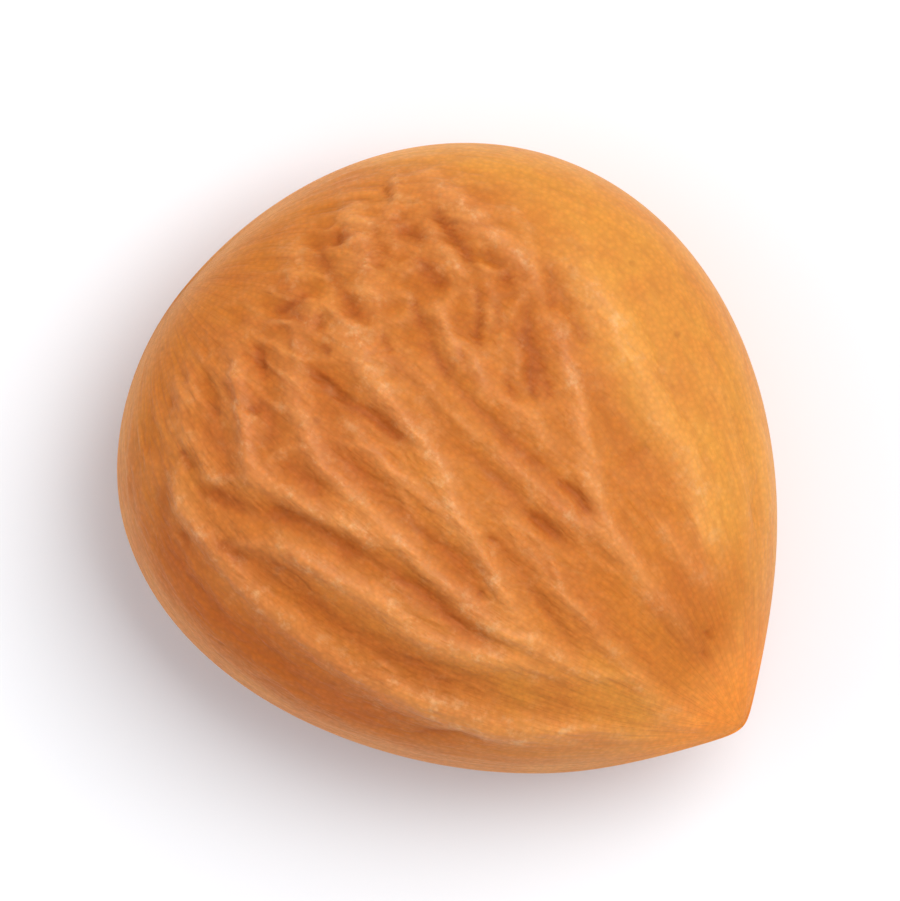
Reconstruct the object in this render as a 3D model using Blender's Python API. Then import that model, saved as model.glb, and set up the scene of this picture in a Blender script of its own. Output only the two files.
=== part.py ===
"""Apricot kernel lying on its broad side, as one closed solid.

The kernel is a flattened drop with its blunt end at -X, its point at +X and its broad face up. A UV
sphere is moved onto that form by a formula. Its skin is raised into the branching ribs that fan from
the blunt end towards the point, and a small flat spot is cut under its weight, where it rests.
The origin ends up on the flat spot's plane, under the middle of the kernel's box.
"""
import random

import bmesh
import bpy
import numpy as np

MM = 0.001

# Bare form, before the ribs. Its axis runs from the point to the blunt end and bends towards -Y.
LENGTH = 13.34 * MM
WIDE_SIDE = 6.19 * MM
NARROW_SIDE = 5.37 * MM
HALF_THICKNESS = 3.02 * MM
AXIS_BEND = 1.40 * MM
BLUNT_SLANT = 0.09

# How the form swells from its point, on each side and in thickness: the higher the swell, the further back
# the form is fullest. Both ends close roundly, the point over a small share of the length. The nib behind
# it is narrowed by a share that fades out over its reach.
WIDE_SWELL = 0.80
NARROW_SWELL = 0.70
THICKNESS_SWELL = 0.69
ROUND_CLOSE = 0.50
NIB_ROUND = 0.04
NIB_PINCH = 0.44
NIB_REACH = 0.064

# The cross-section is a superellipse, so the faces are flatter than an ellipse's and the rim is rounder.
SECTION_POWER = 2.25

# Place of the point in the frame that the ribs are drawn in.
POINT_X = 6.56 * MM
POINT_Y = -0.16 * MM

# Relief. Ribs rise and sink again over shares of their run, and fade out towards the rim, between two
# shares of the half-thickness. The keel is a low line along the narrow edge, from one end to the other.
RIB_HEIGHT = 0.18 * MM
FURROW_DEPTH = 0.10 * MM
RIB_LEAD = 0.12
RIB_RISE = 0.15
RIB_SINK = 0.22
RIM_START = 0.10
RIM_END = 0.42
KEEL_HEIGHT = 0.08 * MM
KEEL_HALF_WIDTH = 0.40 * MM
KEEL_END = 0.16
KEEL_SIDE_START = 0.30
KEEL_SIDE_END = 0.80

# Flat spot that it rests on, where the form is thickest, and the smooth patch around it.
REST_DEPTH = 0.06 * MM
REST_SMOOTH_INNER = 1.5 * MM
REST_SMOOTH_OUTER = 3.6 * MM

# Mesh lines. Crowding draws those along the kernel together on the two broad faces, the upper one most.
LINES_ALONG = 88
RINGS = 67
FACE_CROWDING = 0.20
TOP_CROWDING = 0.08
CURVE_STEPS = 16
SNAP = 0.03 * MM

SKIN_COLOUR = (0.65, 0.22, 0.06, 1.0)
SKIN_ROUGHNESS = 0.55

# Ribs of the upper face: height as a share of RIB_HEIGHT, half-width in mm, then points in mm.
FACE_RIBS = (
    (1.00, 0.36, ((-4.5, -4.25), (-3.4, -4.55), (-1.2, -4.7), (1.0, -4.35), (3.2, -3.3), (5.3, -1.6))),
    (0.45, 0.42, ((1.2, -4.2), (2.4, -3.8), (3.6, -3.1), (4.8, -2.1))),
    (1.00, 0.34, ((-2.5, -4.05), (-1.3, -3.5), (0.1, -3.2), (1.1, -3.05), (2.3, -2.45), (3.6, -1.75))),
    (1.00, 0.30, ((-4.5, -1.1), (-3.5, -1.75), (-2.2, -2.1), (0.9, -2.1), (2.4, -1.85), (3.9, -1.3))),
    (1.00, 0.30, ((-3.4, -3.15), (-2.9, -3.05), (-2.4, -2.9), (-1.3, -2.5), (-0.5, -2.2))),
    (1.00, 0.26, ((-5.2, -1.75), (-4.5, -2.2), (-3.9, -2.7), (-3.4, -3.1), (-3.2, -3.3))),
    (0.95, 0.30, ((-4.2, 0.0), (-2.6, -0.35), (-1.3, -0.5), (-0.4, -0.9), (0.6, -1.2), (1.6, -1.5),
                  (2.8, -1.75))),
    (0.70, 0.24, ((-2.9, -1.15), (-1.7, -1.25), (-0.5, -1.15), (0.5, -1.1))),
    (0.55, 0.28, ((0.2, -0.45), (1.6, -0.6), (3.2, -0.75), (4.8, -0.9), (5.9, -0.8))),
    (0.80, 0.28, ((-0.7, 0.35), (0.3, 0.38), (1.3, 0.42), (2.3, 0.65), (3.4, 0.5), (4.8, 0.3))),
    (0.70, 0.30, ((-1.4, 2.95), (-0.9, 2.7), (-0.3, 2.35), (0.5, 1.65), (1.3, 1.15), (2.2, 0.8),
                  (3.2, 0.6))),
    (0.70, 0.52, ((-2.2, 3.9), (-0.9, 3.75), (0.2, 3.5), (1.5, 3.0), (2.5, 2.6), (3.4, 2.1), (4.2, 1.5))),
    (0.75, 0.34, ((-5.3, 3.05), (-4.3, 3.2), (-3.2, 3.25), (-2.0, 3.2))),
    (0.80, 0.20, ((-4.3, 2.5), (-3.7, 2.38), (-3.0, 2.28))),
    (0.75, 0.36, ((-5.7, 1.95), (-5.0, 1.45), (-4.4, 1.0), (-3.7, 0.6))),
    (0.55, 0.30, ((-3.1, 1.5), (-2.4, 1.3), (-1.3, 1.15), (-0.2, 1.2), (0.7, 1.15))),
    (0.55, 0.32, ((-6.0, 0.7), (-5.3, 0.0), (-4.6, -0.4), (-4.2, -1.1))),
    (0.35, 0.24, ((-4.4, 0.35), (-3.3, 0.15), (-2.3, 0.3), (-1.4, 0.25))),
    (0.40, 0.28, ((-5.8, -2.2), (-5.2, -2.9), (-4.5, -3.5), (-3.6, -3.75))),
    (0.30, 0.30, ((1.2, 4.3), (2.4, 3.7), (3.4, 3.0), (4.3, 2.3))),
)

# Furrows cut below the skin of the upper face, in the same form, with depth as a share of FURROW_DEPTH.
FACE_FURROWS = (
    (1.00, 0.22, ((-4.1, -0.98), (-3.3, -0.9), (-2.5, -0.74), (-1.7, -0.64))),
    (0.75, 0.20, ((-2.7, 0.88), (-1.4, 0.70), (0.0, 0.72), (1.8, 0.83))),
    (0.75, 0.18, ((-0.9, 0.0), (0.4, 0.0), (1.8, 0.0))),
    (0.75, 0.26, ((-2.8, -1.7), (-1.3, -1.68), (0.2, -1.6), (1.3, -1.75))),
    (1.00, 0.30, ((-3.2, -2.6), (-2.7, -2.5), (-2.1, -2.5))),
    (0.75, 0.34, ((-3.9, -4.0), (-3.0, -3.65), (-2.3, -3.3), (-1.2, -2.9), (-0.2, -2.65))),
    (0.90, 0.29, ((-0.5, -2.65), (0.8, -2.5), (2.2, -2.3))),
    (0.90, 0.42, ((-2.9, -4.35), (-1.5, -4.1), (0.0, -3.95), (1.5, -3.55), (3.2, -2.7), (4.4, -1.9))),
    (0.85, 0.18, ((-4.5, 2.85), (-3.8, 2.72), (-3.1, 2.5))),
    (0.65, 0.15, ((-3.2, 2.95), (-2.7, 2.88), (-2.2, 2.72))),
    (0.80, 0.22, ((-4.8, 2.25), (-4.4, 2.2))),
    (0.80, 0.24, ((-4.0, 1.98), (-3.6, 1.95), (-3.1, 2.0))),
    (0.90, 0.34, ((-1.7, 2.4), (-1.1, 2.1), (-0.6, 1.75))),
    (0.70, 0.26, ((-1.9, 3.45), (-1.1, 3.3))),
    (0.90, 0.20, ((-5.6, 0.9), (-5.0, 0.65), (-4.3, 0.5), (-3.9, 0.4))),
    (0.70, 0.22, ((-5.0, -1.25), (-4.4, -1.75))),
    (0.85, 0.22, ((-4.3, -1.95), (-3.8, -2.2), (-3.5, -2.5))),
    (0.65, 0.30, ((-5.0, -2.6), (-4.5, -2.95), (-3.9, -3.3), (-3.5, -3.45))),
    (0.55, 0.20, ((0.5, -0.8), (1.5, -0.92), (2.3, -1.08), (3.4, -1.28))),
    (0.45, 0.44, ((0.2, 2.65), (0.9, 2.35), (1.7, 1.95))),
    (0.45, 0.30, ((0.4, 3.75), (1.8, 3.3), (3.0, 2.5))),
    (0.70, 0.30, ((-4.9, -3.9), (-3.6, -5.2), (-1.4, -5.4), (0.8, -5.0), (2.8, -4.0))),
)

# Fan of ribs on the underside, drawn by a seeded rule: a rib in each lane across the face, and forks from
# lane to lane. Starts, ends and runs are shares of the way from the point to the blunt end.
UNDER_SEED = 11
UNDER_LANES = 11
UNDER_LANE_REACH = 0.80
UNDER_POINTS = 6
UNDER_WANDER = 0.28
UNDER_HALF_WIDTH = 0.27
UNDER_START = (0.84, 0.93)
UNDER_END = (0.22, 0.34)
UNDER_EDGE_CUT = 0.12
UNDER_STRENGTH = (0.70, 1.00)
FORKS = 9
FORK_START = (0.45, 0.85)
FORK_RUN = 0.20
FORK_STRENGTH = (0.60, 0.90)


def fullest_share(swell):
    """Share of the way from the point to the blunt end where the form is fullest."""
    return swell / (swell + ROUND_CLOSE)


def girth(share, swell):
    """Half-width at a share of the way from the point to the blunt end, against the fullest half-width."""
    fullest = fullest_share(swell)
    peak = fullest ** swell * (1 - fullest) ** ROUND_CLOSE
    opening = share ** ROUND_CLOSE * (share + NIB_ROUND) ** (swell - ROUND_CLOSE)
    nib = 1 - NIB_PINCH * np.exp(-share / NIB_REACH)
    return opening * (1 - share) ** ROUND_CLOSE / peak * nib


def plan_place(share, across):
    """X and Y on the kernel. Across is -1 on the narrow edge, 0 on the axis and 1 on the wide edge."""
    wide = WIDE_SIDE * girth(share, WIDE_SWELL)
    narrow = NARROW_SIDE * girth(share, NARROW_SWELL)
    side = np.where(across > 0, wide, narrow) * across
    x = POINT_X - LENGTH * share - BLUNT_SLANT * side * share ** 2
    y = POINT_Y - AXIS_BEND * share ** 2 + side
    return x, y


def smooth_step(value, low, high):
    """0 below low, 1 above high, and an S-curve between them."""
    t = np.clip((value - low) / (high - low), 0, 1)
    return t * t * (3 - 2 * t)


def smooth_curve(points):
    """Catmull-Rom curve through a few points."""
    knots = np.array(points)
    padded = np.vstack((2 * knots[0] - knots[1], knots, 2 * knots[-1] - knots[-2]))
    t = np.linspace(0, 1, CURVE_STEPS, endpoint=False)[:, None]
    runs = []
    for a, b, c, d in zip(padded, padded[1:], padded[2:], padded[3:]):
        runs.append(0.5 * (2 * b + (c - a) * t + (2 * a - 5 * b + 4 * c - d) * t ** 2
                           + (3 * b - a - 3 * c + d) * t ** 3))
    return np.vstack(runs + [knots[-1:]])


def net(strokes, x, y):
    """Height from 0 to 1 of a net of rounded strokes, at places x and y in metres."""
    clear = np.ones_like(x)
    for strength, half_width, points in strokes:
        curve = smooth_curve(points) * MM
        distance = np.hypot(x[:, None] - curve[:, 0], y[:, None] - curve[:, 1])
        nearest = distance.argmin(axis=1)
        along = nearest / (len(curve) - 1)
        taper = smooth_step(along, -RIB_LEAD, RIB_RISE) * smooth_step(1 - along, -RIB_LEAD, RIB_SINK)
        crest = np.exp(-(distance.min(axis=1) / (half_width * MM)) ** 2)
        clear *= 1 - strength * taper * crest
    return 1 - clear


def under_ribs():
    """Strokes of the underside's fan: a wandering rib in each lane, and forks from one lane to the next."""
    dice = random.Random(UNDER_SEED)
    spacing = 2 * UNDER_LANE_REACH / (UNDER_LANES - 1)

    def stroke(start, end, from_lane, to_lane, strength):
        points = []
        for step in range(UNDER_POINTS):
            t = step / (UNDER_POINTS - 1)
            share = start + (end - start) * t
            across = from_lane + (to_lane - from_lane) * t
            across += spacing * dice.uniform(-UNDER_WANDER, UNDER_WANDER)
            x, y = plan_place(share, np.array(across))
            points.append((float(x) / MM, float(y) / MM))
        return strength, UNDER_HALF_WIDTH, tuple(points)

    strokes = []
    lanes = [-UNDER_LANE_REACH + spacing * k for k in range(UNDER_LANES)]
    for lane in lanes:
        start = dice.uniform(*UNDER_START)
        end = dice.uniform(*UNDER_END) + UNDER_EDGE_CUT * abs(lane)
        strokes.append(stroke(start, end, lane, lane, dice.uniform(*UNDER_STRENGTH)))
    for _ in range(FORKS):
        k = dice.randrange(UNDER_LANES - 1)
        start = dice.uniform(*FORK_START)
        ends = dice.sample((lanes[k], lanes[k + 1]), 2)
        strokes.append(stroke(start, start - FORK_RUN, ends[0], ends[1], dice.uniform(*FORK_STRENGTH)))
    return strokes


def bare_form(bm):
    """Moves a unit UV sphere, its poles on Z, onto the bare form, and returns where each vertex lies."""
    ball = np.array([vert.co for vert in bm.verts], dtype=float)
    share = np.clip((1 - ball[:, 2]) / 2, 0, 1)
    angle = np.arctan2(ball[:, 1], ball[:, 0])
    angle += FACE_CROWDING * np.sin(2 * angle) + TOP_CROWDING * np.cos(angle)
    across = np.cos(angle)
    up = np.sin(angle)
    reach = (np.abs(across) ** SECTION_POWER + np.abs(up) ** SECTION_POWER) ** (-1 / SECTION_POWER)
    across *= reach
    up *= reach
    x, y = plan_place(share, across)
    z = HALF_THICKNESS * girth(share, THICKNESS_SWELL) * up
    for vert, place in zip(bm.verts, np.column_stack((x, y, z))):
        vert.co = place
    return share, across, up


def relief(x, y, share, across, up):
    """How far the skin stands out from the bare form: ribs, furrows, and the keel along one edge."""
    face = smooth_step(np.abs(up), RIM_START, RIM_END)
    top = RIB_HEIGHT * net(FACE_RIBS, x, y) - FURROW_DEPTH * net(FACE_FURROWS, x, y)
    rest_x, rest_y = plan_place(fullest_share(THICKNESS_SWELL), np.array(0.0))
    off_rest = smooth_step(np.hypot(x - rest_x, y - rest_y), REST_SMOOTH_INNER, REST_SMOOTH_OUTER)
    under = RIB_HEIGHT * net(under_ribs(), x, y) * off_rest
    keel = np.exp(-(up * HALF_THICKNESS / KEEL_HALF_WIDTH) ** 2)
    keel *= smooth_step(-across, KEEL_SIDE_START, KEEL_SIDE_END)
    keel *= smooth_step(share, 0, KEEL_END) * smooth_step(1 - share, 0, KEEL_END)
    return face * np.where(up > 0, top, under) + KEEL_HEIGHT * keel


def split_along_ribs(bm, raised):
    """Splits each four-sided face between the corners that stand out most alike, to keep ribs whole."""
    bm.verts.index_update()
    for face in [face for face in bm.faces if len(face.verts) == 4]:
        a, b, c, d = face.verts
        if abs(raised[a.index] - raised[c.index]) < abs(raised[b.index] - raised[d.index]):
            bmesh.utils.face_split(face, a, c)
        else:
            bmesh.utils.face_split(face, b, d)


def cut_rest(bm):
    """Cuts the flat spot under the kernel and closes it with one flat face."""
    everything = bm.verts[:] + bm.edges[:] + bm.faces[:]
    bmesh.ops.bisect_plane(bm, geom=everything, dist=SNAP, plane_co=(0, 0, REST_DEPTH - HALF_THICKNESS),
                           plane_no=(0, 0, 1), use_snap_center=True, clear_inner=True)
    ring = [vert for vert in bm.verts if vert.is_boundary]
    bmesh.ops.remove_doubles(bm, verts=ring, dist=SNAP)
    ring = [edge for edge in bm.edges if edge.is_boundary]
    bmesh.ops.holes_fill(bm, edges=ring, sides=0)


def stand_on_origin(bm):
    """Puts the middle of the kernel's box over the origin, with its flat spot at height 0."""
    places = np.array([vert.co for vert in bm.verts])
    low = places.min(axis=0)
    high = places.max(axis=0)
    shift = (-(low[0] + high[0]) / 2, -(low[1] + high[1]) / 2, -low[2])
    bmesh.ops.translate(bm, verts=bm.verts, vec=shift)


def skin_material():
    """Dry papery skin, orange brown."""
    material = bpy.data.materials.new("kernel_skin")
    material.use_nodes = True
    shader = material.node_tree.nodes["Principled BSDF"]
    shader.inputs["Base Color"].default_value = SKIN_COLOUR
    shader.inputs["Roughness"].default_value = SKIN_ROUGHNESS
    shader.inputs["Metallic"].default_value = 0.0
    return material


def make_kernel(collection):
    """The kernel: bare form, relief along the skin's normals, then the flat spot."""
    bm = bmesh.new()
    bmesh.ops.create_uvsphere(bm, u_segments=LINES_ALONG, v_segments=RINGS, radius=1)
    share, across, up = bare_form(bm)
    bmesh.ops.recalc_face_normals(bm, faces=bm.faces)
    bm.normal_update()
    places = np.array([vert.co for vert in bm.verts])
    raised = relief(places[:, 0], places[:, 1], share, across, up)
    for vert, height in zip(bm.verts, raised):
        vert.co += vert.normal * height
    split_along_ribs(bm, raised)
    cut_rest(bm)
    stand_on_origin(bm)
    bmesh.ops.recalc_face_normals(bm, faces=bm.faces)
    mesh = bpy.data.meshes.new("kernel")
    bm.to_mesh(mesh)
    bm.free()
    mesh.materials.append(skin_material())
    mesh.shade_smooth()
    kernel = bpy.data.objects.new("kernel", mesh)
    collection.objects.link(kernel)
    return kernel


for leftover in list(bpy.data.objects):
    bpy.data.objects.remove(leftover)
apricot_kernel = bpy.data.collections.new("apricot_kernel")
bpy.context.scene.collection.children.link(apricot_kernel)
make_kernel(apricot_kernel)
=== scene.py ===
"""One apricot kernel, lying on its broad side on white card, seen from straight above.

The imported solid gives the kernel's size and place. A finer skin takes its place here, raised by the same
formula and the same ribs, with the smaller wrinkles, the grain and the colours that dried seed coat has.
Lengths are in millimetres up to the mesh itself, which is in metres.
"""
import math
import random

import bmesh
import bpy
import numpy as np
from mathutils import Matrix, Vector, noise


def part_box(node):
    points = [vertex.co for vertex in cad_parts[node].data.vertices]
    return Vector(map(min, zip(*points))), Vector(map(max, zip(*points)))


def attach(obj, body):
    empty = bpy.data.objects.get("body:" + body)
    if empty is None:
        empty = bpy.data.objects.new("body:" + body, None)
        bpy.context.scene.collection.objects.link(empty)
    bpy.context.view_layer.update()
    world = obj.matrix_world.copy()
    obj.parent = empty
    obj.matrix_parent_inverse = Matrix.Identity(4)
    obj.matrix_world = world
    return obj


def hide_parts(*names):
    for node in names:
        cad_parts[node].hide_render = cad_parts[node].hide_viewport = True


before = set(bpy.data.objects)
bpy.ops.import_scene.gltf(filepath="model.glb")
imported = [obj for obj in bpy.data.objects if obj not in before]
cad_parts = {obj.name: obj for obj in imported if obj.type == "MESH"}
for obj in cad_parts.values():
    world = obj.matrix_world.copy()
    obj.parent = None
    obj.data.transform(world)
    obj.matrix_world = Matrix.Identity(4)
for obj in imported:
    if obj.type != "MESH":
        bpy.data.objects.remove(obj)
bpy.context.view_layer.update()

# Kernel, bare form.
# The whole seed out of an apricot stone: two seed leaves pressed flat against each other in a thin dry
# coat. It grew in one piece, as a flattened drop with its point at +X and its blunt end at -X.
LENGTH = 13.34
WIDE_SIDE = 6.19
NARROW_SIDE = 5.37
HALF_THICKNESS = 3.02
POINT_X = 6.56
POINT_Y = -0.16
AXIS_BEND = 1.40
BLUNT_SLANT = 0.09

# Powers of the outline, from the point to the fullest place and from there to the round blunt end.
WIDE_SWELL = 0.80
NARROW_SWELL = 0.70
THICKNESS_SWELL = 0.69
ROUND_CLOSE = 0.50

# The point's very end, as shares of the length, and how much it is pinched. A section is a little squarer
# than an ellipse, whose power is 2.
NIB_ROUND = 0.04
NIB_REACH = 0.064
NIB_PINCH = 0.44
SECTION_POWER = 2.25

# The flat spot lies a little inside the lowest place of the full section.
REST_HEIGHT = 0.06 - HALF_THICKNESS

# The mesh: lines from end to end and rings across them, with the lines crowded on the faces and most on top.
LINES_ALONG = 384
RINGS = 252
FACE_CROWDING = 0.20
TOP_CROWDING = 0.08


def fullest_share(swell):
    """Share of the way from the point to the blunt end where the form is fullest."""
    return swell / (swell + ROUND_CLOSE)


def girth(share, swell):
    """Half-width at a share of the way from the point to the blunt end, against the fullest half-width."""
    fullest = fullest_share(swell)
    peak = fullest ** swell * (1 - fullest) ** ROUND_CLOSE
    opening = share ** ROUND_CLOSE * (share + NIB_ROUND) ** (swell - ROUND_CLOSE)
    nib = 1 - NIB_PINCH * np.exp(-share / NIB_REACH)
    return opening * (1 - share) ** ROUND_CLOSE / peak * nib


def plan_place(share, across):
    """X and Y on the kernel. Across is -1 on the narrow edge, 0 on the axis and 1 on the wide edge."""
    wide = WIDE_SIDE * girth(share, WIDE_SWELL)
    narrow = NARROW_SIDE * girth(share, NARROW_SWELL)
    side = np.where(across > 0, wide, narrow) * across
    plan_x = POINT_X - LENGTH * share - BLUNT_SLANT * side * share ** 2
    plan_y = POINT_Y - AXIS_BEND * share ** 2 + side
    return plan_x, plan_y


# A ball's top is drawn out into the point and its bottom into the blunt end.
ball = bmesh.new()
bmesh.ops.create_uvsphere(ball, u_segments=LINES_ALONG, v_segments=RINGS, radius=1)
skin = bpy.data.meshes.new("kernel_skin")
ball.to_mesh(skin)
ball.free()
unit = np.empty(len(skin.vertices) * 3)
skin.vertices.foreach_get("co", unit)
unit = unit.reshape(-1, 3)
share = np.clip((1 - unit[:, 2]) / 2, 0, 1)
turn = np.arctan2(unit[:, 1], unit[:, 0])
turn += FACE_CROWDING * np.sin(2 * turn) + TOP_CROWDING * np.cos(turn)
across = np.cos(turn)
up = np.sin(turn)
section = (np.abs(across) ** SECTION_POWER + np.abs(up) ** SECTION_POWER) ** (-1 / SECTION_POWER)
across *= section
up *= section
x, y = plan_place(share, across)
z = HALF_THICKNESS * girth(share, THICKNESS_SWELL) * up
places = np.column_stack((x, y, z))
skin.vertices.foreach_set("co", places.ravel())
skin.update()
outward = np.empty(len(skin.vertices) * 3)
skin.vertex_normals.foreach_get("vector", outward)
outward = outward.reshape(-1, 3)

# Kernel, ribs and furrows.
# Strands that feed the seed run in its coat from the blunt end towards the point. The flesh shrinks as it
# dries and leaves them standing as low branching ribs, with furrows between them.
RIB_HEIGHT = 0.12
FURROW_DEPTH = 0.065
FINE_RIB_HEIGHT = 0.070
FINE_FURROW_DEPTH = 0.075

# A rib's rise at one end, its sinking at the other, and how far past its ends it fades: shares of its length.
RIB_LEAD = 0.12
RIB_RISE = 0.15
RIB_SINK = 0.22

# A rib's section: most of it a narrow crest, the rest a wide foot. Spreads are in squared half-widths.
CREST_SHARE = 0.78
CREST_SPREAD = 0.38
FOOT_SPREAD = 1.7
STROKE_REACH = 4
CURVE_STEPS = 8

# The ribs fade out towards the rim, between these shares of the half-thickness.
RIM_START = 0.10
RIM_END = 0.42

# Ribs of the upper face: height as a share of RIB_HEIGHT, half-width in mm, then points in mm.
FACE_RIBS = (
    (1.00, 0.36, ((-4.5, -4.25), (-3.4, -4.55), (-1.2, -4.7), (1.0, -4.35), (3.2, -3.3), (5.3, -1.6))),
    (0.45, 0.42, ((1.2, -4.2), (2.4, -3.8), (3.6, -3.1), (4.8, -2.1))),
    (1.00, 0.34, ((-2.5, -4.05), (-1.3, -3.5), (0.1, -3.2), (1.1, -3.05), (2.3, -2.45), (3.6, -1.75))),
    (1.00, 0.30, ((-4.5, -1.1), (-3.5, -1.75), (-2.2, -2.1), (0.9, -2.1), (2.4, -1.85), (3.9, -1.3))),
    (1.00, 0.30, ((-3.4, -3.15), (-2.9, -3.05), (-2.4, -2.9), (-1.3, -2.5), (-0.5, -2.2))),
    (1.00, 0.26, ((-5.2, -1.75), (-4.5, -2.2), (-3.9, -2.7), (-3.4, -3.1), (-3.2, -3.3))),
    (0.95, 0.30, ((-4.2, 0.0), (-2.6, -0.35), (-1.3, -0.5), (-0.4, -0.9), (0.6, -1.2), (1.6, -1.5),
                  (2.8, -1.75))),
    (0.70, 0.24, ((-2.9, -1.15), (-1.7, -1.25), (-0.5, -1.15), (0.5, -1.1))),
    (0.55, 0.28, ((0.2, -0.45), (1.6, -0.6), (3.2, -0.75), (4.8, -0.9), (5.9, -0.8))),
    (0.80, 0.28, ((-0.7, 0.35), (0.3, 0.38), (1.3, 0.42), (2.3, 0.65), (3.4, 0.5), (4.8, 0.3))),
    (0.70, 0.30, ((-1.4, 2.95), (-0.9, 2.7), (-0.3, 2.35), (0.5, 1.65), (1.3, 1.15), (2.2, 0.8),
                  (3.2, 0.6))),
    (0.70, 0.52, ((-2.2, 3.9), (-0.9, 3.75), (0.2, 3.5), (1.5, 3.0), (2.5, 2.6), (3.4, 2.1), (4.2, 1.5))),
    (0.75, 0.34, ((-5.3, 3.05), (-4.3, 3.2), (-3.2, 3.25), (-2.0, 3.2))),
    (0.80, 0.20, ((-4.3, 2.5), (-3.7, 2.38), (-3.0, 2.28))),
    (0.75, 0.36, ((-5.7, 1.95), (-5.0, 1.45), (-4.4, 1.0), (-3.7, 0.6))),
    (0.55, 0.30, ((-3.1, 1.5), (-2.4, 1.3), (-1.3, 1.15), (-0.2, 1.2), (0.7, 1.15))),
    (0.55, 0.32, ((-6.0, 0.7), (-5.3, 0.0), (-4.6, -0.4), (-4.2, -1.1))),
    (0.35, 0.24, ((-4.4, 0.35), (-3.3, 0.15), (-2.3, 0.3), (-1.4, 0.25))),
    (0.40, 0.28, ((-5.8, -2.2), (-5.2, -2.9), (-4.5, -3.5), (-3.6, -3.75))),
    (0.30, 0.30, ((1.2, 4.3), (2.4, 3.7), (3.4, 3.0), (4.3, 2.3))),
)

# Furrows of the upper face, with depth as a share of FURROW_DEPTH.
FACE_FURROWS = (
    (1.00, 0.22, ((-4.1, -0.98), (-3.3, -0.9), (-2.5, -0.74), (-1.7, -0.64))),
    (0.75, 0.20, ((-2.7, 0.88), (-1.4, 0.70), (0.0, 0.72), (1.8, 0.83))),
    (0.75, 0.18, ((-0.9, 0.0), (0.4, 0.0), (1.8, 0.0))),
    (0.75, 0.26, ((-2.8, -1.7), (-1.3, -1.68), (0.2, -1.6), (1.3, -1.75))),
    (1.00, 0.30, ((-3.2, -2.6), (-2.7, -2.5), (-2.1, -2.5))),
    (0.75, 0.34, ((-3.9, -4.0), (-3.0, -3.65), (-2.3, -3.3), (-1.2, -2.9), (-0.2, -2.65))),
    (0.90, 0.29, ((-0.5, -2.65), (0.8, -2.5), (2.2, -2.3))),
    (0.90, 0.42, ((-2.9, -4.35), (-1.5, -4.1), (0.0, -3.95), (1.5, -3.55), (3.2, -2.7), (4.4, -1.9))),
    (0.85, 0.18, ((-4.5, 2.85), (-3.8, 2.72), (-3.1, 2.5))),
    (0.65, 0.15, ((-3.2, 2.95), (-2.7, 2.88), (-2.2, 2.72))),
    (0.80, 0.22, ((-4.8, 2.25), (-4.4, 2.2))),
    (0.80, 0.24, ((-4.0, 1.98), (-3.6, 1.95), (-3.1, 2.0))),
    (0.90, 0.34, ((-1.7, 2.4), (-1.1, 2.1), (-0.6, 1.75))),
    (0.70, 0.26, ((-1.9, 3.45), (-1.1, 3.3))),
    (0.90, 0.20, ((-5.6, 0.9), (-5.0, 0.65), (-4.3, 0.5), (-3.9, 0.4))),
    (0.70, 0.22, ((-5.0, -1.25), (-4.4, -1.75))),
    (0.85, 0.22, ((-4.3, -1.95), (-3.8, -2.2), (-3.5, -2.5))),
    (0.65, 0.30, ((-5.0, -2.6), (-4.5, -2.95), (-3.9, -3.3), (-3.5, -3.45))),
    (0.55, 0.20, ((0.5, -0.8), (1.5, -0.92), (2.3, -1.08), (3.4, -1.28))),
    (0.45, 0.44, ((0.2, 2.65), (0.9, 2.35), (1.7, 1.95))),
    (0.45, 0.30, ((0.4, 3.75), (1.8, 3.3), (3.0, 2.5))),
    (0.70, 0.30, ((-4.9, -3.9), (-3.6, -5.2), (-1.4, -5.4), (0.8, -5.0), (2.8, -4.0))),
)

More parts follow.
